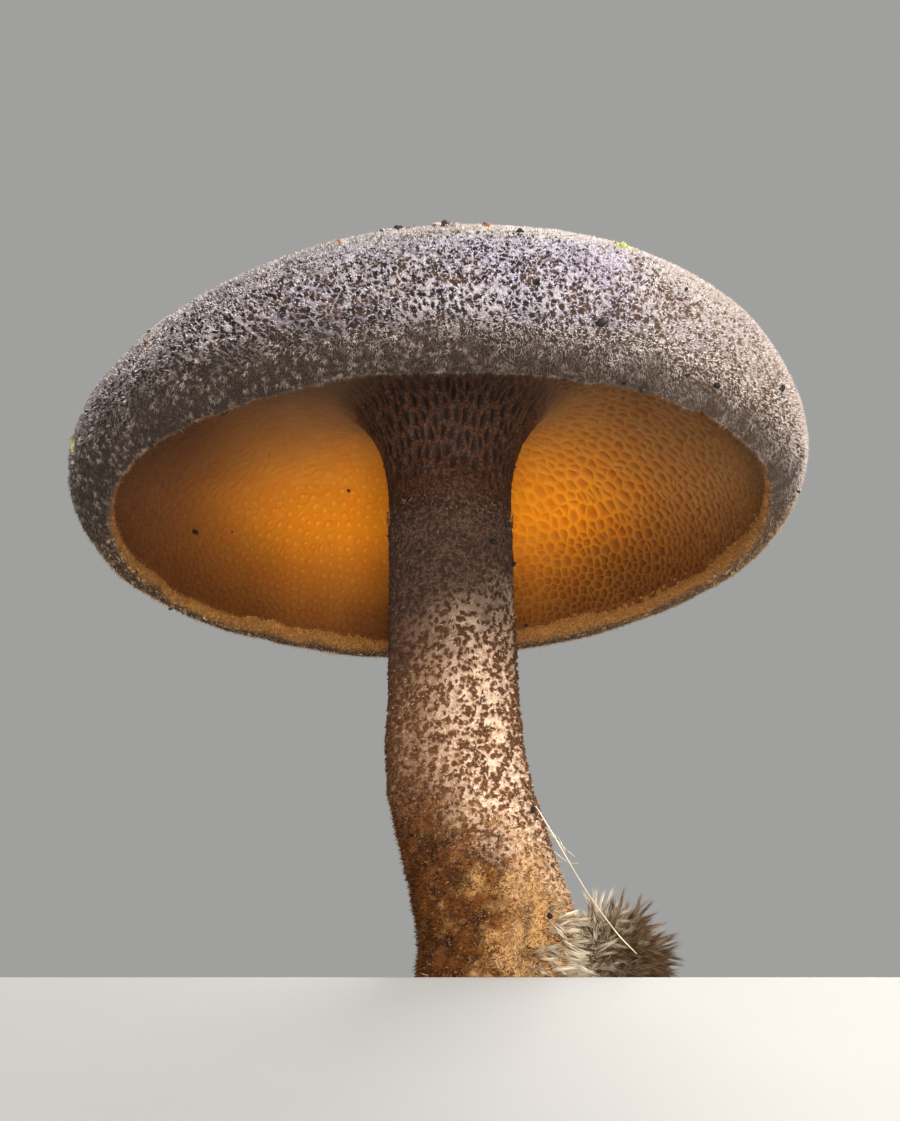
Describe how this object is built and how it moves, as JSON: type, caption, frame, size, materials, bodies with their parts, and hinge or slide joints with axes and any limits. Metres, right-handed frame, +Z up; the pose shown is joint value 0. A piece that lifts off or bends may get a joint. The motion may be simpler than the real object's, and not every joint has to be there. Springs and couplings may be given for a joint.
{
  "type": "stalked bracket fungus",
  "caption": "Young stalked polypore: domed velvety cap with a rolled-in margin, a hollow pore face under it and a bent stem, cut off flat at its woolly foot.",
  "frame": {"origin": "middle of the stem's flat cut at the foot", "axes": "+Z up the stem, +X to the right of the picture's view, +Y away from it"},
  "size_m": [0.0341, 0.0335, 0.0358],
  "materials": {
    "fungus_flesh": "matte, velvety"
  },
  "bodies": {
    "root": {"fruit_body": "fungus_flesh"}
  },
  "joints": []
}
